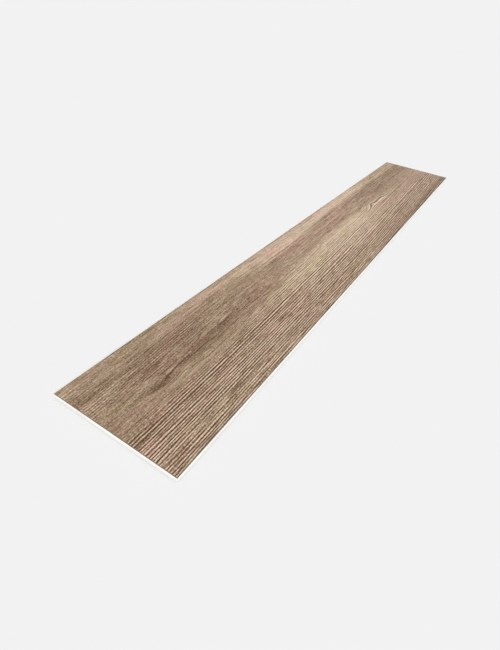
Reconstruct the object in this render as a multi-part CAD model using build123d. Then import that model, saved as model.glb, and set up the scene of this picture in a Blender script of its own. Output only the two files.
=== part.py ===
from build123d import *
import os

# Rigid core vinyl floor plank, in millimetres: one laminated board, milled on all four edges to a
# click joint. The long edge at -Y and the end at -X carry a tongue. The long edge at +Y and the end
# at +X carry the matching socket, with a locking lip under it.
# The origin is on the underside, below the middle of the printed face. X runs along the plank and
# Z is up.

# The printed face, which is what covers the floor once planks are joined
face_length = 1219.2
face_width = 184.15
thickness = 5.5

# Small painted bevel round the printed face
bevel_width = 1.0
bevel_drop = 0.6

# Tongue, measured out from the edge of the face and down from its surface
tongue_reach = 1.9
tongue_drop = 2.1
tongue_thickness = 1.6
tongue_nose_radius = 0.5
tongue_under_rise = 0.2

# Locking lip below the socket, and the ridge along it that holds the neighbouring plank
lip_reach = 5.2
lip_end_rise = 0.6
ridge_height = 0.7
ridge_top_width = 1.1
ridge_inner_run = 0.3
ridge_outer_run = 0.6
milled_radius = 0.2

# Room between two joined planks
joint_clearance = 0.1
ridge_play = 0.05
lip_end_clearance = 0.3

# Levels and places that both halves of the joint share, the places counted out from the face edge
tongue_top = thickness - tongue_drop
tongue_bottom = tongue_top - tongue_thickness
lip_top = tongue_bottom - joint_clearance
ridge_top = lip_top + ridge_height
ridge_outer = lip_reach - ridge_outer_run
ridge_inner = ridge_outer - ridge_top_width
ridge_foot = ridge_inner - ridge_inner_run


def bevel_corners():
    """Corners of the bevel at a face edge, as (distance out, height, radius)."""
    return [
        (-bevel_width, thickness, 0),
        (0, thickness - bevel_drop, 0),
    ]


def tongue_corners():
    """Corners of a tongue edge from the bevel down to the underside."""
    recess_end = -(lip_reach + lip_end_clearance)
    groove_top = ridge_top + joint_clearance
    return bevel_corners() + [
        (0, tongue_top, 0),
        (tongue_reach, tongue_top, tongue_nose_radius),
        (tongue_reach, tongue_bottom + tongue_under_rise, tongue_nose_radius),
        (0, tongue_bottom, 0),
        (-(ridge_foot - ridge_play), tongue_bottom, milled_radius),
        (-(ridge_inner - ridge_play), groove_top, milled_radius),
        (recess_end, groove_top, milled_radius),
        (recess_end, 0, 0),
    ]


def socket_corners():
    """Corners of a socket edge from the bevel down to the underside."""
    socket_back = -(tongue_reach + joint_clearance)
    return bevel_corners() + [
        (0, tongue_top + joint_clearance, 0),
        (socket_back, tongue_top + joint_clearance, milled_radius),
        (socket_back, lip_top + tongue_under_rise, milled_radius),
        (0, lip_top, 0),
        (ridge_foot, lip_top, milled_radius),
        (ridge_inner, ridge_top, milled_radius),
        (ridge_outer, ridge_top, milled_radius),
        (lip_reach, lip_top - lip_end_rise, milled_radius),
        (lip_reach, 0, 0),
    ]


def milled_outline(plane, face_size):
    """Closed section of the board across one pair of edges, tongue on the low side."""
    half = face_size / 2
    socket = [(half + out, height, radius) for out, height, radius in socket_corners()]
    tongue = [(-half - out, height, radius) for out, height, radius in tongue_corners()]
    corners = socket + tongue[::-1]
    points = [(across, height) for across, height, radius in corners]
    radii = [radius for across, height, radius in corners]
    return plane * make_face(FilletPolyline(*points, radius=radii, close=True))


def milled_bar(plane, face_size, bar_length):
    """The board's section run straight through, longer than the board at both ends."""
    return extrude(milled_outline(plane, face_size), amount=bar_length, both=True)


def plank():
    """The board as two milling passes leave it: what both sections have in common.

    The second pass also cuts two crumbs of ridge loose at the corners, and they fall away.
    """
    past_the_edges = face_length + 2 * lip_reach
    along = milled_bar(Plane.YZ, face_width, past_the_edges)
    across = milled_bar(Plane.XZ, face_length, past_the_edges)
    left_over = along & across
    return left_over.solids().sort_by(SortBy.VOLUME)[-1]


os.makedirs("parts", exist_ok=True)
board = plank()
board.label = "plank"
export_step(board, "parts/plank.step")
print("volume_mm3", round(board.volume, 1))
print("box", board.bounding_box())
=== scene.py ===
"""Dresses one rigid core vinyl plank: embossed face, wood print, painted bevel and milled pale core.

Lengths are in metres, and in millimetres where a name ends in _mm or its class says so. X runs along the
plank from its end tongue at -X to its end socket at +X, Y across it from the long tongue at -Y to the long
socket at +Y.
"""

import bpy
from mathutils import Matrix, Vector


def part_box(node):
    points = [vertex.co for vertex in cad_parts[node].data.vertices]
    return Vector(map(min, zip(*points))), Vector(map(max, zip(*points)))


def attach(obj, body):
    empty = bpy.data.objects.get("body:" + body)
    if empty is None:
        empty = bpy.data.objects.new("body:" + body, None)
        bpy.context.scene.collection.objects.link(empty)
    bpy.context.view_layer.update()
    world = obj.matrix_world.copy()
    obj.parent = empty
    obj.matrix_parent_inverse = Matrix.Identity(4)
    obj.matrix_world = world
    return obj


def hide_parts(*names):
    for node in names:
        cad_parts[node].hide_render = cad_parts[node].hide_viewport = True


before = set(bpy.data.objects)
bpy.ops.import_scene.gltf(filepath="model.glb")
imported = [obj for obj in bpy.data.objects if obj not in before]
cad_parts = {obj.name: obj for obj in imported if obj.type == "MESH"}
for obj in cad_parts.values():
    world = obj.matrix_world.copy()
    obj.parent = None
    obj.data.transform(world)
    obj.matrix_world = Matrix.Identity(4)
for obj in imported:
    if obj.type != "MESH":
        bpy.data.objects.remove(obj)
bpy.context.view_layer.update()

import logging
import math
from dataclasses import dataclass, field
from enum import Enum
from typing import Any

import bpy
from mathutils import Euler, Vector, noise

log = logging.getLogger("plank")

MM = 0.001
MM_IN_METRE = 1000
NODE = "plank"
BODY = "root"
Colour = tuple[float, float, float]


def linear(red: int, green: int, blue: int) -> Colour:
    """The linear colour of an sRGB colour.

    Args:
        red: its red, from 0 to 255.
        green: its green.
        blue: its blue.

    Returns:
        The linear colour.
    """
    def channel(level: int) -> float:
        """One channel, by the sRGB curve."""
        share = level / 255
        return share / 12.92 if share <= 0.04045 else ((share + 0.055) / 1.055) ** 2.4
    return channel(red), channel(green), channel(blue)


class Side(Enum):
    """The finish that a face of the plank wears, in the order of its material slots."""

    PRINT = 0
    BEVEL = 1
    CORE = 2


class Shade:
    """A number that a shader node puts out, on which plain arithmetic adds Math nodes."""

    def __init__(self, nodes: "Nodes", socket: bpy.types.NodeSocket) -> None:
        """Wraps an output socket of a node in the tree that nodes writes."""
        self.nodes = nodes
        self.socket = socket

    def math(self, operation: str, *operands: Any) -> "Shade":
        """Adds one Math node.

        Args:
            operation: the Math node's operation.
            operands: its inputs in order, as numbers or shades.

        Returns:
            The node's result.
        """
        return self.nodes.node("ShaderNodeMath", {"operation": operation}, dict(enumerate(operands)))

    def __add__(self, other: Any) -> "Shade":
        """self + other"""
        return self.math("ADD", self, other)

    def __radd__(self, other: Any) -> "Shade":
        """other + self"""
        return self.math("ADD", other, self)

    def __sub__(self, other: Any) -> "Shade":
        """self - other"""
        return self.math("SUBTRACT", self, other)

    def __rsub__(self, other: Any) -> "Shade":
        """other - self"""
        return self.math("SUBTRACT", other, self)

    def __mul__(self, other: Any) -> "Shade":
        """self * other"""
        return self.math("MULTIPLY", self, other)

    def __rmul__(self, other: Any) -> "Shade":
        """other * self"""
        return self.math("MULTIPLY", other, self)

    def __truediv__(self, other: Any) -> "Shade":
        """self / other"""
        return self.math("DIVIDE", self, other)

    def smaller(self, other: Any) -> "Shade":
        """The lesser of the two."""
        return self.math("MINIMUM", self, other)

    def larger(self, other: Any) -> "Shade":
        """The greater of the two."""
        return self.math("MAXIMUM", self, other)

    def rise(self, low: float, high: float) -> "Shade":
        """A smooth step between two values.

        Args:
            low: where the step is 0.
            high: where it is 1, which may be the lesser.

        Returns:
            The step.
        """
        settings = {"interpolation_type": "SMOOTHSTEP"}
        places = {"Value": self, "From Min": low, "From Max": high, "To Min": 0.0, "To Max": 1.0}
        return self.nodes.node("ShaderNodeMapRange", settings, places)

    def hill(self, centre: Any, half_width: float) -> "Shade":
        """A smooth bump: 1 where self is at centre, falling to 0 at half_width from it."""
        off = self.math("SUBTRACT", self, centre)
        return off.math("ABSOLUTE", off).rise(half_width, 0.0)


class Nodes:
    """Writes the node tree of one material or world.

    A noise node's output, once it is centred on 0, is widened by noise_spread to about -1 to 1.
    """

    noise_spread: float = 3.2

    def __init__(self, owner: Any) -> None:
        """Empties the owner's tree, ready to be written."""
        owner.use_nodes = True
        self.tree = owner.node_tree
        self.tree.nodes.clear()

    def add(self, kind: str, settings: dict[str, Any], places: dict[Any, Any]) -> bpy.types.Node:
        """Adds a node.

        Args:
            kind: the node's type.
            settings: its own properties, set before any socket.
            places: values, shades or sockets for its inputs, by name or number.

        Returns:
            The node itself.
        """
        node = self.tree.nodes.new(kind)
        for name, value in settings.items():
            setattr(node, name, value)
        for name, value in places.items():
            self.plug(node.inputs[name], value)
        return node

    def plug(self, place: bpy.types.NodeSocket, value: Any) -> None:
        """Sets an input, or links it.

        Args:
            place: the input.
            value: a number or colour for it, or the shade or socket that feeds it.
        """
        if isinstance(value, Shade):
            self.tree.links.new(value.socket, place)
        elif isinstance(value, bpy.types.NodeSocket):
            self.tree.links.new(value, place)
        elif isinstance(value, tuple) and len(value) == 3 and place.type == "RGBA":
            place.default_value = (*value, 1.0)
        else:
            place.default_value = value

    def node(self, kind: str, settings: dict[str, Any], places: dict[Any, Any], out: Any = 0) -> Shade:
        """Adds a node and wraps one of its outputs; the arguments are those of add."""
        return Shade(self, self.add(kind, settings, places).outputs[out])

    def point(self, *parts: Any) -> bpy.types.NodeSocket:
        """A vector of three numbers or shades."""
        return self.add("ShaderNodeCombineXYZ", {}, dict(enumerate(parts))).outputs[0]

    def noise(self, *parts: Any, detail: float = 2.0, rough: float = 0.5, swirl: float = 0.0) -> Shade:
        """Smooth noise about 0, mostly within -1 to 1.

        Args:
            parts: the three coordinates, one cell of noise to a unit.
            detail: how many finer layers are added.
            rough: how strong the finer layers are.
            swirl: how far the noise bends itself.

        Returns:
            The noise as a shade.
        """
        places = {"Vector": self.point(*parts), "Scale": 1.0, "Detail": detail, "Roughness": rough,
                  "Distortion": swirl}
        raw = self.node("ShaderNodeTexNoise", {"noise_dimensions": "3D", "normalize": True}, places)
        return (raw - 0.5) * self.noise_spread

    def blend(self, share: Any, first: Any, second: Any, how: str = "MIX") -> bpy.types.NodeSocket:
        """A colour between two colours.

        Args:
            share: how much of the second, from 0 to 1.
            first: the colour at 0.
            second: the colour at 1.
            how: the Mix node's way of mixing.

        Returns:
            The mixed colour's socket.
        """
        settings = {"data_type": "RGBA", "blend_type": how, "clamp_factor": True}
        # The node has sockets for numbers and vectors too, and these are the ones for colours
        return self.add("ShaderNodeMix", settings, {0: share, 6: first, 7: second}).outputs[2]


def step(value: float, low: float, high: float) -> float:
    """0 below low, 1 above high and a smooth step between them; high may be the lesser."""
    share = min(max((value - low) / (high - low), 0.0), 1.0)
    return share * share * (3 - 2 * share)


def hump(value: float, centre: float, half_wide: float) -> float:
    """A smooth bump: 1 at the centre, a half at half_wide from it and 0 at twice that."""
    return step(abs(value - centre), 2 * half_wide, 0.0)


@dataclass(frozen=True)
class Streaks:
    """Noise drawn out along the grain, for the relief or for the print.

    Its cells are long by wide millimetres, and place picks one noise among all that are so drawn out.
    """

    long: float
    wide: float
    place: float
    detail: float = 2.0
    rough: float = 0.5
    swirl: float = 0.0

    def pressed(self, along: float, ring: float) -> float:
        """The noise at a spot of the relief, with no finer layers."""
        return noise.noise((along / self.long, ring / self.wide, self.place))

    def printed(self, nodes: Nodes, along: Shade, ring: Shade) -> Shade:
        """The noise in the print, with its finer layers."""
        return nodes.noise(along / self.long, ring / self.wide, self.place,
                           detail=self.detail, rough=self.rough, swirl=self.swirl)


@dataclass(frozen=True)
class Stroke:
    """A long soft mark in the wood, lying along the grain, with its places and widths in millimetres.

    Its ends fade over a share of its length, fading.
    """

    first: float
    last: float
    middle: float
    half_wide: float
    change: float
    fading: float = 0.25

    def at(self, along: float, across: float) -> float:
        """How much the mark changes a spot, both distances in millimetres."""
        beside = hump(across, self.middle, self.half_wide)
        return self.change * self.lasting(along) * beside if beside else 0.0

    def ripple(self, along: float, across: float) -> float:
        """The mark with a flank of the other sign on each side, so that the mean level stays as it was.

        Args:
            along: the spot's place along the plank, in millimetres.
            across: its place across the grain.

        Returns:
            How much the mark changes the spot.
        """
        beside = hump(across, self.middle, 2 * self.half_wide)
        if not beside:
            return 0.0
        wave = math.cos(math.pi * (across - self.middle) / (2 * self.half_wide))
        return self.change * self.lasting(along) * beside * wave

    def lasting(self, along: float) -> float:
        """1 between the mark's ends, fading to 0 past them."""
        fade = self.fading * (self.last - self.first)
        begun = step(along, self.first - fade, self.first + fade)
        return begun * step(along, self.last + fade, self.last - fade)


@dataclass(frozen=True)
class Knot:
    """A small knot that the grain sweeps round, in millimetres: its place, its reach and its push."""

    along: float
    across: float
    long: float
    wide: float
    lift: float

    def nearness(self, along: float, across: float) -> float:
        """1 at the knot, falling smoothly to 0 away from it."""
        lengthwise = (along - self.along) / self.long
        sideways = (across - self.across) / self.wide
        return math.exp(-lengthwise ** 2 - sideways ** 2)


@dataclass(frozen=True)
class Grain:
    """The lay of the wood grain, shared by the relief that is modelled and the print that follows it.

    Distances are in millimetres: along from the near end, across from the socket's long edge, and ring
    across the grain once its bends are straightened. Short flecks lie on one side of the seam and ruled
    lines on the other. The ruled lines turn aside past turn_mm, by slant, and turn_lag later for each
    millimetre across past turn_across. The near and far stretches are given by where their share is 0 and
    where it is 1.
    """

    pitch_mm: float = 3.45
    depth_mm: float = 0.26
    boldest_mm: float = 149.0
    seam_mm: float = 98.0
    seam_wide: float = 24.0
    turn_mm: float = 180.0
    turn_lag: float = 7.0
    turn_across: float = 118.0
    slant: float = 0.011
    near: tuple[float, float] = (330, 90)
    far: tuple[float, float] = (400, 800)
    bend: Streaks = Streaks(300, 60, 1.7)
    shiver: Streaks = Streaks(60, 9, 4.1)
    drift: Streaks = Streaks(90, 7, 9.4)
    gaps: Streaks = Streaks(11, 2.4, 6.6)
    long_gaps: Streaks = Streaks(26, 3, 4.4)
    strays: Streaks = Streaks(22, 1.3, 3.3)
    ruled_patches: Streaks = Streaks(70, 14, 8.8)
    short_flecks: Streaks = Streaks(10, 1.2, 5.5)
    flecks: Streaks = Streaks(28, 1.4, 1.5)
    long_flecks: Streaks = Streaks(95, 1.6, 7.2)
    knots: tuple[Knot, ...] = (
        Knot(846, 77, 34, 13, 12),
        Knot(902, 82, 30, 10, 7),
        Knot(88, 89, 26, 9, -5),
    )
    bold: tuple[Stroke, ...] = (
        Stroke(-400, 640, 149, 8, 0.4),
        Stroke(-400, 1150, 123, 3, 0.15),
        Stroke(-400, 420, 131, 3, 0.15),
        Stroke(-400, 720, 172, 4, 0.25),
        Stroke(-400, 280, 164, 3, 0.15),
        Stroke(-400, 200, 179, 4, 0.4),
    )
    lines: tuple[Stroke, ...] = (
        Stroke(-400, 620, 149, 0.9, 0.2),
        Stroke(-400, 600, 151.2, 0.8, -0.12),
        Stroke(-400, 600, 147, 0.8, -0.12),
        Stroke(620, 960, 146.6, 1.0, 0.16),
        Stroke(620, 960, 149.5, 1.0, -0.16),
        Stroke(960, 1180, 147.6, 1.1, 0.16),
        Stroke(-60, 760, 123.3, 0.9, -0.28),
        Stroke(740, 1250, 121.6, 1.3, -0.18),
        Stroke(-60, 640, 121, 0.8, 0.15),
        Stroke(-60, 420, 125.8, 0.8, 0.15),
        Stroke(-60, 360, 130.6, 0.7, -0.2),
        Stroke(-60, 720, 172.5, 0.8, -0.22),
        Stroke(-60, 560, 174.6, 0.7, 0.15),
        Stroke(-60, 250, 163, 0.7, -0.15),
        Stroke(480, 700, 118.3, 1.1, 0.2),
        Stroke(700, 930, 125.5, 1.0, 0.1),
        Stroke(470, 600, 134, 1.0, 0.2),
        Stroke(640, 740, 140, 1.0, 0.08),
        Stroke(860, 1120, 115.6, 1.4, 0.24),
        Stroke(860, 1010, 111, 1.2, -0.15),
        Stroke(250, 1600, 104.7, 0.9, -0.22),
        Stroke(220, 1600, 101, 0.9, 0.2),
        Stroke(880, 1150, 108, 1.0, 0.12),
        Stroke(330, 640, 36, 1.2, -0.13),
        Stroke(260, 650, 40.3, 1.2, 0.15),
        Stroke(400, 620, 44.3, 1.2, -0.12),
        Stroke(380, 780, 48.5, 1.2, 0.1),
        Stroke(930, 1600, 58.5, 1.4, -0.18),
        Stroke(940, 1600, 64, 1.5, 0.22),
    )

    def ring_mm(self, along: float, across: float) -> float:
        """Where a spot stands among the growth rings.

        Args:
            along: the spot's place along the plank.
            across: its place across it.

        Returns:
            The distance across the straightened grain.
        """
        start = self.turn_mm + self.turn_lag * max(across - self.turn_across, 0.0)
        past = along - start
        right = self.slant * (past + math.hypot(past, 60)) * (1 - 0.25 * step(across, 120, 150))
        left = 9 * step(along, -40, 320) - 4 * step(along, 320, 640)
        ring = across + left + (right - left) * step(across, 58, 84)
        ring += self.bend.pressed(along, across) + 0.3 * self.shiver.pressed(along, across)
        return ring + sum(knot.lift * knot.nearness(along, across) for knot in self.knots)

    def strength(self, along: float, across: float, ring: float) -> float:
        """How far long straight lines rule the grain at a spot.

        Args:
            along: the spot's place along the plank.
            across: its place across it.
            ring: its place among the rings.

        Returns:
            The share, from 0, short flecks, to 1, ruled lines.
        """
        start = self.seam_mm + 6 * noise.noise((along / 140, 2.2, 0.4)) - 6 * step(along, 150, 400)
        right = step(ring, start, start + self.seam_wide - 10 * step(along, 150, 400))
        left = 0.1 + 0.25 * max(self.ruled_patches.pressed(along, across), 0.0)
        left += 0.6 * step(along, 320, 100) * hump(ring, 50, 13)
        left += 0.25 * min(sum(knot.nearness(along, across) for knot in self.knots), 1.0)
        left = min(left, 1.0)
        return left + (1 - left) * right

    def relief(self, along: float, across: float) -> float:
        """The depth of the emboss at a spot.

        Args:
            along: the spot's place along the plank.
            across: its place across it.

        Returns:
            The depth's share, from 0 on the highest ridge to 1 in the deepest groove.
        """
        ring = self.ring_mm(along, across)
        off = ring - self.boldest_mm
        wander = 0.35 - 0.25 * hump(ring, self.boldest_mm, 9)
        phase = off / self.pitch_mm + 0.3 * noise.noise((off / 9, 0.0, 0.0))
        phase += wander * self.drift.pressed(along, ring)
        near = step(along, *self.near)
        far = step(along, *self.far)
        uneven = 0.35 - 0.27 * far
        own = 0.54 + uneven * noise.noise((ring / 5, along / 70, 2.9))
        own += sum(mark.at(along, ring) for mark in self.bold)
        own = min(max(own, 0.2), 1.0)
        fade = 0.92 + (0.8 - 0.5 * far) * self.gaps.pressed(along, ring)
        fade += (0.7 - 0.45 * far) * self.long_gaps.pressed(along, ring)
        stray = (0.5 - 0.3 * far) * self.strays.pressed(along, ring)
        fleck = (0.9 - 0.25 * near) * self.short_flecks.pressed(along, ring)
        fleck += (0.35 + 0.55 * near) * self.flecks.pressed(along, ring)
        fleck += 0.65 * self.long_flecks.pressed(along, ring)
        ruled = math.cos(2 * math.pi * phase) * own * fade + stray
        share = self.strength(along, across, ring)
        press = 0.5 * (share * ruled + (1 - share) * 0.5 * fleck)
        press += sum(mark.ripple(along, ring) for mark in self.lines)
        return min(max(0.5 + press, 0.0), 1.0)


@dataclass(frozen=True)
class PrintedFace:
    """The face: a wood print under a satin wear layer, its dark lines lying in the emboss."""

    grain: Grain
    face_low: Vector
    face_high: Vector
    name: str = "wood_print"
    ring_layer: str = "ring_mm"
    rule_layer: str = "ruled"
    tone_layer: str = "broad_tone"
    dark: Colour = linear(90, 66, 46)
    umber: Colour = linear(137, 113, 91)
    tan: Colour = linear(172, 148, 125)
    cream: Colour = linear(216, 191, 168)
    bright: Colour = linear(242, 219, 197)
    olive_cast: Colour = (0.96, 1.0, 0.88)
    rose_cast: Colour = (1.08, 0.98, 1.02)
    middle_tone: float = 0.55
    cloud: Streaks = Streaks(150, 30, 0.6)
    mottle: Streaks = Streaks(60, 9, 5.2, detail=4, rough=0.65, swirl=0.5)
    band: Streaks = Streaks(120, 2.6, 3.3, rough=0.6)
    thread: Streaks = Streaks(36, 1.4, 7.7, detail=3, rough=0.55)
    streak: Streaks = Streaks(190, 1.7, 4.9, rough=0.6)
    fleck: Streaks = Streaks(13, 1.4, 2.6, rough=0.6)
    grit: Streaks = Streaks(3, 1.2, 8.1, rough=0.6)
    fibre: Streaks = Streaks(20, 0.42, 2.4, rough=0.6)
    wide_lean: Streaks = Streaks(130, 30, 12.5, detail=3, rough=0.65)
    small_lean: Streaks = Streaks(45, 8, 15.5, detail=1)
    strips: tuple[Stroke, ...] = (
        Stroke(-280, 250, 37, 7, -0.16),
        Stroke(60, 190, 50, 8, -0.11),
        Stroke(110, 220, 88, 6, -0.06),
        Stroke(-280, 90, 60, 6, -0.05),
        Stroke(120, 400, 77, 10, -0.15),
        Stroke(66, 108, 88, 6, -0.15),
        Stroke(180, 330, 50, 6, -0.09),
        Stroke(400, 620, 30, 7, 0.09),
        Stroke(340, 470, 67, 8, 0.06),
        Stroke(255, 345, 26, 5, -0.1),
        Stroke(265, 400, 92, 4, -0.14),
        Stroke(430, 860, 84, 9, 0.16),
        Stroke(560, 760, 92, 16, 0.1),
        Stroke(600, 740, 80, 7, 0.05),
        Stroke(340, 880, 112, 22, 0.15),
        Stroke(350, 520, 98, 9, 0.09),
        Stroke(860, 1000, 90, 3, 0.12),
        Stroke(610, 730, 65, 5, -0.05),
        Stroke(560, 800, 113, 15, 0.05),
        Stroke(820, 910, 81, 4, 0.12),
        Stroke(830, 980, 12, 9, 0.07),
        Stroke(410, 640, 27, 5, 0.14),
        Stroke(380, 900, 12, 9, 0.07),
        Stroke(560, 900, 16, 8, 0.06),
        Stroke(860, 1500, 35, 7, -0.13),
        Stroke(930, 1015, 57, 8, -0.1),
        Stroke(980, 1500, 57, 11, -0.14),
        Stroke(-280, 370, 123, 5, -0.1),
        Stroke(900, 1090, 126, 4, 0.08),
        Stroke(790, 1000, 129, 6, 0.06),
        Stroke(270, 560, 5, 5, -0.09),
        Stroke(560, 780, 130, 8, 0.08),
        Stroke(380, 640, 169, 3, 0.08),
        Stroke(800, 1700, 176, 6, -0.22),
    )

    def broad_tone(self, along: float, across: float) -> float:
        """The broad light and dark parts of the print at a spot.

        Args:
            along: the spot's place along the plank, in millimetres from the near end.
            across: its place across it, from the socket's long edge.

        Returns:
            The tone there, from 0, dark, to 1, light.
        """
        drift = self.cloud.pressed(along, across)
        edge = across + 5 * drift
        tone = self.middle_tone + 0.06 * drift - 0.07 * step(along, 420, 100) * hump(edge, 80, 35)
        tone -= 0.04 * step(edge, 104, 124)
        tone += 0.17 * step(along, 80, 380) * step(edge, 29, 18) * (1 - 0.4 * step(along, 950, 1100))
        return tone + sum(strip.at(along, edge) for strip in self.strips)

    def write_layers(self, piece: bpy.types.Object) -> None:
        """Stores the grain's lay and the broad tone on the piece's own mesh, for the print to read.

        Args:
            piece: the piece, already cut to its shape.
        """
        names = (self.ring_layer, self.rule_layer, self.tone_layer)
        layers = [piece.data.attributes.new(name, "FLOAT", "POINT").data for name in names]
        for corner, ring, rule, tone in zip(piece.data.vertices, *layers):
            along = (corner.co.x - self.face_low.x) / MM
            across = (self.face_high.y - corner.co.y) / MM
            ring.value = self.grain.ring_mm(along, across)
            rule.value = self.grain.strength(along, across, ring.value)
            tone.value = self.broad_tone(along, across)

    def material(self) -> bpy.types.Material:
        """Writes the material.

        Returns:
            The finished material.
        """
        made = bpy.data.materials.new(self.name)
        nodes = Nodes(made)
        where = nodes.node("ShaderNodeTexCoord", {}, {}, "Object")
        split = nodes.add("ShaderNodeSeparateXYZ", {}, {"Vector": where})
        along = Shade(nodes, split.outputs[0]) * MM_IN_METRE - self.face_low.x * MM_IN_METRE
        across = self.face_high.y * MM_IN_METRE - Shade(nodes, split.outputs[1]) * MM_IN_METRE
        ring = nodes.node("ShaderNodeAttribute", {"attribute_name": self.ring_layer}, {}, "Fac")
        ruled = nodes.node("ShaderNodeAttribute", {"attribute_name": self.rule_layer}, {}, "Fac")
        broad = nodes.node("ShaderNodeAttribute", {"attribute_name": self.tone_layer}, {}, "Fac")
        below = self.face_high.z - Shade(nodes, split.outputs[2])
        sunk = (below * (MM_IN_METRE / self.grain.depth_mm)).larger(0.0).smaller(1.0)
        coarse = along.rise(40, 600)
        mottle = self.mottle.printed(nodes, along, ring)
        band = self.band.printed(nodes, along, ring)
        thread = self.thread.printed(nodes, along, ring)
        streak = self.streak.printed(nodes, along, ring)
        fleck = self.fleck.printed(nodes, along, ring)
        grit = self.grit.printed(nodes, along, ring)
        fibre = self.fibre.printed(nodes, along, ring)
        tone = broad + 0.035 * mottle
        tone = tone + 0.04 * band + (0.08 + coarse * (0.28 - 0.25 * ruled)) * streak + 0.17 * thread
        tone = tone + (0.17 + 0.06 * coarse) * fleck + (0.36 + 0.2 * ruled) * grit
        tone = tone - (0.8 + ruled * (0.42 + 0.28 * coarse)) * (sunk - 0.5)
        tone = tone - 0.12 * self.edge_shade(across)
        colour = self.tinted(nodes, tone, along, ring)
        rough = 0.5 + 0.1 * sunk + 0.04 * thread
        bump = nodes.add("ShaderNodeBump", {}, {"Strength": 0.55, "Distance": 0.00006, "Height": fibre})
        look = {"Base Color": colour, "Roughness": rough, "Normal": bump.outputs[0],
                "Specular IOR Level": 0.1}
        shader = nodes.add("ShaderNodeBsdfPrincipled", {}, look)
        nodes.add("ShaderNodeOutputMaterial", {}, {"Surface": shader.outputs[0]})
        return made

    def edge_shade(self, across: Shade) -> Shade:
        """1 at the long edges, where the bevel's paint has crept on to the print, and 0 inside them."""
        wide = (self.face_high.y - self.face_low.y) * MM_IN_METRE
        return across.smaller(wide - across).rise(4.0, 0.5)

    def tinted(self, nodes: Nodes, tone: Shade, along: Shade, ring: Shade) -> bpy.types.NodeSocket:
        """The print's colour: dark brown to cream, leaning olive or rose in patches.

        Args:
            nodes: the tree that is written.
            tone: how light the print is.
            along: the place along the plank, in millimetres.
            ring: the place among the rings.

        Returns:
            The colour's socket.
        """
        base = nodes.blend(tone.rise(0.05, 0.42), self.dark, self.umber)
        base = nodes.blend(tone.rise(0.35, 0.62), base, self.tan)
        base = nodes.blend(tone.rise(0.6, 0.95), base, self.cream)
        base = nodes.blend(tone.rise(0.92, 1.4), base, self.bright)
        lean = self.wide_lean.printed(nodes, along, ring)
        lean = lean + 0.4 * self.small_lean.printed(nodes, along, ring)
        lean = lean + 0.3 * along.hill(600, 400) * ring.hill(116, 36)
        lean = lean - 0.4 * along.hill(600, 420) * ring.hill(56, 26)
        base = nodes.blend(lean.rise(0.0, 0.7), base, self.olive_cast, "MULTIPLY")
        return nodes.blend(lean.rise(0.0, -0.7), base, self.rose_cast, "MULTIPLY")


@dataclass(frozen=True)
class PaintedBevel:
    """The bevel round the face: a dark brown paint rolled on after milling."""

    name: str = "bevel_paint"
    thin: Colour = linear(132, 115, 99)
    full: Colour = linear(100, 86, 73)

    def material(self) -> bpy.types.Material:
        """Writes the material.

        Returns:
            The finished material.
        """
        made = bpy.data.materials.new(self.name)
        nodes = Nodes(made)
        where = nodes.node("ShaderNodeTexCoord", {}, {}, "Object")
        split = nodes.add("ShaderNodeSeparateXYZ", {}, {"Vector": where})
        along, across, up = (Shade(nodes, part) * MM_IN_METRE for part in split.outputs)
        wear = nodes.noise(along / 13, across / 13, up * 2, detail=3, rough=0.6)
        colour = nodes.blend(wear.rise(-0.7, 0.7), self.thin, self.full)
        bump = nodes.add("ShaderNodeBump", {}, {"Strength": 0.3, "Distance": 0.00005, "Height": wear})
        look = {"Base Color": colour, "Roughness": 0.6 + 0.05 * wear, "Normal": bump.outputs[0]}
        shader = nodes.add("ShaderNodeBsdfPrincipled", {}, look)
        nodes.add("ShaderNodeOutputMaterial", {}, {"Surface": shader.outputs[0]})
        return made


@dataclass(frozen=True)
class MilledCore:
    """The pale stone-filled core, bare on the milled edges and underneath."""

    name: str = "milled_core"
    pale: Colour = linear(247, 246, 243)
    grey: Colour = linear(228, 226, 221)
    speck: Colour = linear(150, 148, 142)

    def material(self) -> bpy.types.Material:
        """Writes the material.

        Returns:
            The finished material.
        """
        made = bpy.data.materials.new(self.name)
        nodes = Nodes(made)
        where = nodes.node("ShaderNodeTexCoord", {}, {}, "Object")
        split = nodes.add("ShaderNodeSeparateXYZ", {}, {"Vector": where})
        along, across, up = (Shade(nodes, part) * MM_IN_METRE for part in split.outputs)
        cloud = nodes.noise(along / 40, across / 40, up / 3, detail=4, rough=0.6)
        chalk = nodes.noise(along / 0.9, across / 0.9, up / 0.9, detail=2, rough=0.6)
        colour = nodes.blend(cloud.rise(-0.9, 1.1) * 0.6, self.pale, self.grey)
        colour = nodes.blend(chalk.rise(0.75, 1.3) * 0.5, colour, self.speck)
        bump = nodes.add("ShaderNodeBump", {}, {"Strength": 0.35, "Distance": 0.00005, "Height": chalk})
        look = {"Base Color": colour, "Roughness": 0.72 + 0.05 * chalk, "Normal": bump.outputs[0]}
        shader = nodes.add("ShaderNodeBsdfPrincipled", {}, look)
        nodes.add("ShaderNodeOutputMaterial", {}, {"Surface": shader.outputs[0]})
        return made


def select_only(piece: bpy.types.Object) -> None:
    """Selects one object and nothing else, and makes it active.

    Args:
        piece: the object.
    """
    bpy.ops.object.select_all(action="DESELECT")
    piece.select_set(True)
    bpy.context.view_layer.objects.active = piece


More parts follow.
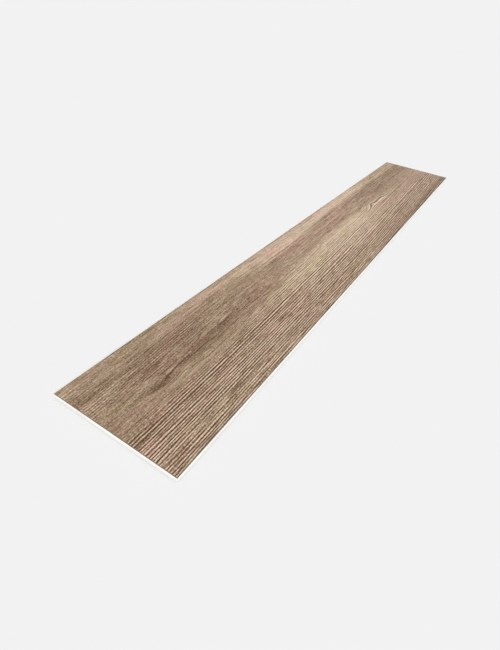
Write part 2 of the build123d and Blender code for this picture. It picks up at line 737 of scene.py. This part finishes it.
@dataclass(frozen=True)
class PictureLayout:
    """Where a square picture holds the piece, laid out so that most of its pixels go to the printed face.

    The face lies in strips side by side, then come the underside and the milled edges. Widths and gaps are
    shares of the picture. A face belongs to the underside where it points down and lies within under_depth
    of the lowest one.
    """

    map_name: str = "OFBake"
    strips: int = 2
    gap: float = 0.012
    strip_wide: float = 0.425
    under_wide: float = 0.035
    edges_wide: float = 0.065
    under_depth: float = 0.0001
    fold_deg: float = 66.0
    island_gap: float = 0.003

    def lay_out(self, piece: bpy.types.Object) -> None:
        """Adds the map to a piece.

        Args:
            piece: the piece, whose faces already have their finishes.
        """
        mesh = piece.data
        mesh.uv_layers.active = mesh.uv_layers.new(name=self.map_name)
        low, high = (Vector(corner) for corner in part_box(NODE))
        size = high - low
        core = [face for face in mesh.polygons if face.material_index == Side.CORE.value]
        under = {face.index for face in core
                 if face.normal.z < -0.9 and face.center.z < low.z + self.under_depth}
        edges = {face.index for face in core} - under
        under_left = self.gap / 2 + self.strips * (self.strip_wide + self.gap)
        self.unfold(piece, edges, under_left + self.under_wide + self.gap)
        places = mesh.uv_layers[self.map_name].data
        for face in mesh.polygons:
            if face.index in edges:
                continue
            strip = min(int(self.strips * (face.center.x - low.x) / size.x), self.strips - 1)
            for corner, vertex in zip(face.loop_indices, face.vertices):
                spot = mesh.vertices[vertex].co
                along = (spot.x - low.x) / size.x
                across = (spot.y - low.y) / size.y
                if face.index in under:
                    places[corner].uv = (under_left + self.under_wide * across, self.height(along))
                else:
                    left = self.gap / 2 + strip * (self.strip_wide + self.gap)
                    up = self.height(self.strips * along - strip)
                    places[corner].uv = (left + self.strip_wide * (1 - across), up)

    def height(self, share: float) -> float:
        """The place up the picture for a share of a column's length."""
        return self.gap + (1 - 2 * self.gap) * share

    def unfold(self, piece: bpy.types.Object, chosen: set[int], left: float) -> None:
        """Unfolds the chosen faces into a column of their own.

        Args:
            piece: the piece, with the map active.
            chosen: the faces' numbers.
            left: where the column starts.
        """
        mesh = piece.data
        select_only(piece)
        bpy.ops.object.mode_set(mode="EDIT")
        bpy.ops.mesh.select_mode(type="FACE")
        bpy.ops.mesh.select_all(action="DESELECT")
        bpy.ops.object.mode_set(mode="OBJECT")
        for face in mesh.polygons:
            face.select = face.index in chosen
        bpy.ops.object.mode_set(mode="EDIT")
        bpy.ops.uv.smart_project(angle_limit=math.radians(self.fold_deg), island_margin=self.island_gap)
        bpy.ops.object.mode_set(mode="OBJECT")
        places = mesh.uv_layers[self.map_name].data
        corners = [corner for index in chosen for corner in mesh.polygons[index].loop_indices]
        spots = [places[corner].uv.copy() for corner in corners]
        wide, tall = (max(spot[way] for spot in spots) - min(spot[way] for spot in spots) for way in (0, 1))
        if wide > tall:
            spots = [Vector((spot.y, -spot.x)) for spot in spots]
            wide, tall = tall, wide
        first_u, first_v = (min(spot[way] for spot in spots) for way in (0, 1))
        for corner, spot in zip(corners, spots):
            share = (spot.x - first_u) / wide
            places[corner].uv = (left + self.edges_wide * share, self.height((spot.y - first_v) / tall))


@dataclass
class EmbossedPlank:
    """The plank itself: the milled solid with the grain pressed into its face.

    The block that presses the grain reaches past the solid by margin, and its top has rows by columns of
    faces. Points closer than weld are one point of the solid, and what is thinner than sliver after the cut
    is closed up. A face wears the print or the paint where its normal points up by least_up or more.
    """

    face_length: float = 1.2192
    face_width: float = 0.18415
    bevel_width: float = 0.001
    bevel_drop: float = 0.0006
    margin: float = 0.002
    rows: int = 320
    columns: int = 280
    weld: float = 0.000001
    sliver: float = 0.00002
    least_up: float = 0.3
    crease_deg: float = 17.0
    grain: Grain = field(default_factory=Grain)
    layout: PictureLayout = PictureLayout()

    def __post_init__(self) -> None:
        """Reads the solid's box and finds the face's corners on it."""
        self.low, self.high = (Vector(corner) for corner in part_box(NODE))
        self.face_low = Vector((-self.face_length / 2, -self.face_width / 2, 0.0))
        self.face_high = Vector((self.face_length / 2, self.face_width / 2, self.high.z))

    def build(self) -> bpy.types.Object:
        """Models the piece and dresses it.

        Returns:
            The finished piece, which stands for the solid.
        """
        block = self.pressed_block()
        piece = self.milled_copy()
        self.cut_with(piece, block)
        piece.name = piece.data.name = "embossed_plank"
        self.dress(piece)
        return piece

    def pressed_block(self) -> bpy.types.Object:
        """Models a block over the whole solid whose top is the embossed face.

        Returns:
            The block, closed, reaching past the solid on its sides and below.
        """
        size = self.high - self.low
        centre = (self.high + self.low) / 2
        span = (size.x + 2 * self.margin, size.y + 2 * self.margin, 1.0)
        bpy.ops.object.select_all(action="DESELECT")
        bpy.ops.mesh.primitive_grid_add(x_subdivisions=self.rows, y_subdivisions=self.columns, size=1.0,
                                        location=(centre.x, centre.y, self.high.z))
        block = bpy.context.object
        block.scale = span
        bpy.ops.object.transform_apply(location=True, rotation=True, scale=True)
        for corner in block.data.vertices:
            corner.co.z = self.high.z - self.depth_at(corner.co)
        bpy.ops.object.mode_set(mode="EDIT")
        bpy.ops.mesh.select_mode(type="EDGE")
        bpy.ops.mesh.select_all(action="DESELECT")
        bpy.ops.mesh.select_non_manifold()
        down = (0, 0, -self.high.z - self.margin)
        bpy.ops.mesh.extrude_region_move(TRANSFORM_OT_translate={"value": down})
        bpy.ops.transform.resize(value=(1, 1, 0), center_override=(0, 0, self.low.z - self.margin))
        bpy.ops.mesh.edge_face_add()
        bpy.ops.mesh.select_all(action="SELECT")
        bpy.ops.mesh.normals_make_consistent(inside=False)
        bpy.ops.object.mode_set(mode="OBJECT")
        return block

    def depth_at(self, spot: Vector) -> float:
        """How far the face is pressed down at a spot.

        Args:
            spot: the spot, in metres.

        Returns:
            The depth, in metres.
        """
        along = (spot.x - self.face_low.x) / MM
        across = (self.face_high.y - spot.y) / MM
        return self.grain.relief(along, across) * self.grain.depth_mm * MM

    def milled_copy(self) -> bpy.types.Object:
        """Copies the solid's mesh into a piece of its own and merges its loose triangles.

        Returns:
            The copy.
        """
        piece = bpy.data.objects.new("milled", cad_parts[NODE].data.copy())
        bpy.context.scene.collection.objects.link(piece)
        select_only(piece)
        bpy.ops.object.mode_set(mode="EDIT")
        bpy.ops.mesh.select_all(action="SELECT")
        bpy.ops.mesh.remove_doubles(threshold=self.weld)
        bpy.ops.object.mode_set(mode="OBJECT")
        return piece

    def cut_with(self, piece: bpy.types.Object, block: bpy.types.Object) -> None:
        """Keeps what the piece and the block have in common, without its thinnest slivers.

        Args:
            piece: the milled copy, which is cut.
            block: the pressed block, which is then deleted.
        """
        cut = piece.modifiers.new("emboss", "BOOLEAN")
        cut.operation = "INTERSECT"
        cut.solver = "MANIFOLD"
        cut.object = block
        select_only(piece)
        bpy.ops.object.modifier_apply(modifier=cut.name)
        bpy.data.objects.remove(block)
        bpy.ops.object.mode_set(mode="EDIT")
        bpy.ops.mesh.select_all(action="SELECT")
        bpy.ops.mesh.remove_doubles(threshold=self.sliver)
        bpy.ops.mesh.dissolve_degenerate(threshold=self.sliver)
        bpy.ops.object.mode_set(mode="OBJECT")

    def dress(self, piece: bpy.types.Object) -> None:
        """Gives each face its finish, smooths the shading and hangs the piece on the frame.

        Args:
            piece: the piece, already cut to its shape.
        """
        finishes = {
            Side.PRINT: PrintedFace(self.grain, self.face_low, self.face_high),
            Side.BEVEL: PaintedBevel(),
            Side.CORE: MilledCore(),
        }
        piece.data.materials.clear()
        finishes[Side.PRINT].write_layers(piece)
        for side in Side:
            piece.data.materials.append(finishes[side].material())
        for face in piece.data.polygons:
            face.material_index = self.side_of(face).value
        self.layout.lay_out(piece)
        select_only(piece)
        bpy.ops.object.shade_smooth_by_angle(angle=math.radians(self.crease_deg))
        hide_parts(NODE)
        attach(piece, BODY)

    def side_of(self, face: bpy.types.MeshPolygon) -> Side:
        """Which finish a face wears, by its place and slope.

        Args:
            face: the face.

        Returns:
            Its finish.
        """
        spot = face.center
        inset = min(self.face_length / 2 - abs(spot.x), self.face_width / 2 - abs(spot.y))
        if face.normal.z < self.least_up or inset < 0 or spot.z < self.high.z - self.bevel_drop:
            return Side.CORE
        return Side.PRINT if inset > self.bevel_width else Side.BEVEL


@dataclass
class Studio:
    """A plain pale floor under soft even light, and the camera."""

    ground: Colour = linear(242, 242, 242)
    floor_span: float = 120.0
    sky_level: float = 0.6
    lamp_height_deg: float = 47.0
    lamp_bearing_deg: float = 224.0
    lamp_softness_deg: float = 28.0
    camera_place: tuple[float, float, float] = (-0.79044, -0.24977, 0.39116)
    camera_turn_deg: tuple[float, float, float] = (51.697, -5.187, -57.12)
    lens: float = 23.657
    shift_across: float = 0.0046

    def build(self) -> None:
        """Sets out the floor, the light and the camera."""
        self.floor()
        self.sky()
        self.lamp()
        self.camera()

    def floor(self) -> None:
        """Lays the pale floor at the plank's underside."""
        bpy.ops.object.select_all(action="DESELECT")
        bpy.ops.mesh.primitive_plane_add(size=self.floor_span, location=(0, 0, 0))
        floor = bpy.context.object
        floor.name = "floor"
        paint = bpy.data.materials.new("pale_floor")
        nodes = Nodes(paint)
        look = {"Base Color": self.ground, "Roughness": 1.0, "Specular IOR Level": 0.0}
        shader = nodes.add("ShaderNodeBsdfPrincipled", {}, look)
        nodes.add("ShaderNodeOutputMaterial", {}, {"Surface": shader.outputs[0]})
        floor.data.materials.append(paint)

    def sky(self) -> None:
        """Fills the room with even light, and shows the floor's own colour behind everything."""
        world = bpy.data.worlds.new("studio")
        bpy.context.scene.world = world
        nodes = Nodes(world)
        path = nodes.add("ShaderNodeLightPath", {}, {})
        seen = Shade(nodes, path.outputs["Is Camera Ray"])
        seen = seen.larger(Shade(nodes, path.outputs["Is Glossy Ray"]))
        seen = seen.larger(Shade(nodes, path.outputs["Is Transmission Ray"]))
        level = (self.sky_level,) * 3
        colour = nodes.blend(seen, level, self.ground)
        light = nodes.add("ShaderNodeBackground", {}, {"Color": colour, "Strength": 1.0})
        nodes.add("ShaderNodeOutputWorld", {}, {"Surface": light.outputs[0]})

    def lamp(self) -> None:
        """Hangs one broad lamp, which with the sky lights the floor to its own colour."""
        tilt = math.radians(90 - self.lamp_height_deg)
        data = bpy.data.lights.new("key", "SUN")
        data.energy = (1 - self.sky_level) * math.pi / math.cos(tilt)
        data.angle = math.radians(self.lamp_softness_deg)
        lamp = bpy.data.objects.new("key", data)
        lamp.rotation_euler = Euler((tilt, 0, math.radians(self.lamp_bearing_deg + 90)))
        bpy.context.scene.collection.objects.link(lamp)

    def camera(self) -> None:
        """Places the camera and makes it the scene's own."""
        data = bpy.data.cameras.new("camera")
        data.lens = self.lens
        data.shift_x = self.shift_across
        data.clip_end = self.floor_span
        camera = bpy.data.objects.new("camera", data)
        camera.location = self.camera_place
        camera.rotation_euler = Euler([math.radians(turn) for turn in self.camera_turn_deg])
        bpy.context.scene.collection.objects.link(camera)
        bpy.context.scene.camera = camera


def main() -> None:
    """Builds the plank and its studio, and logs how many faces the plank has."""
    logging.basicConfig(level=logging.INFO, format="%(name)s: %(message)s")
    piece = EmbossedPlank().build()
    log.info("%s: %d faces", piece.name, len(piece.data.polygons))
    Studio().build()
    bpy.context.scene.view_settings.view_transform = "Standard"


if __name__ == "__main__":
    main()
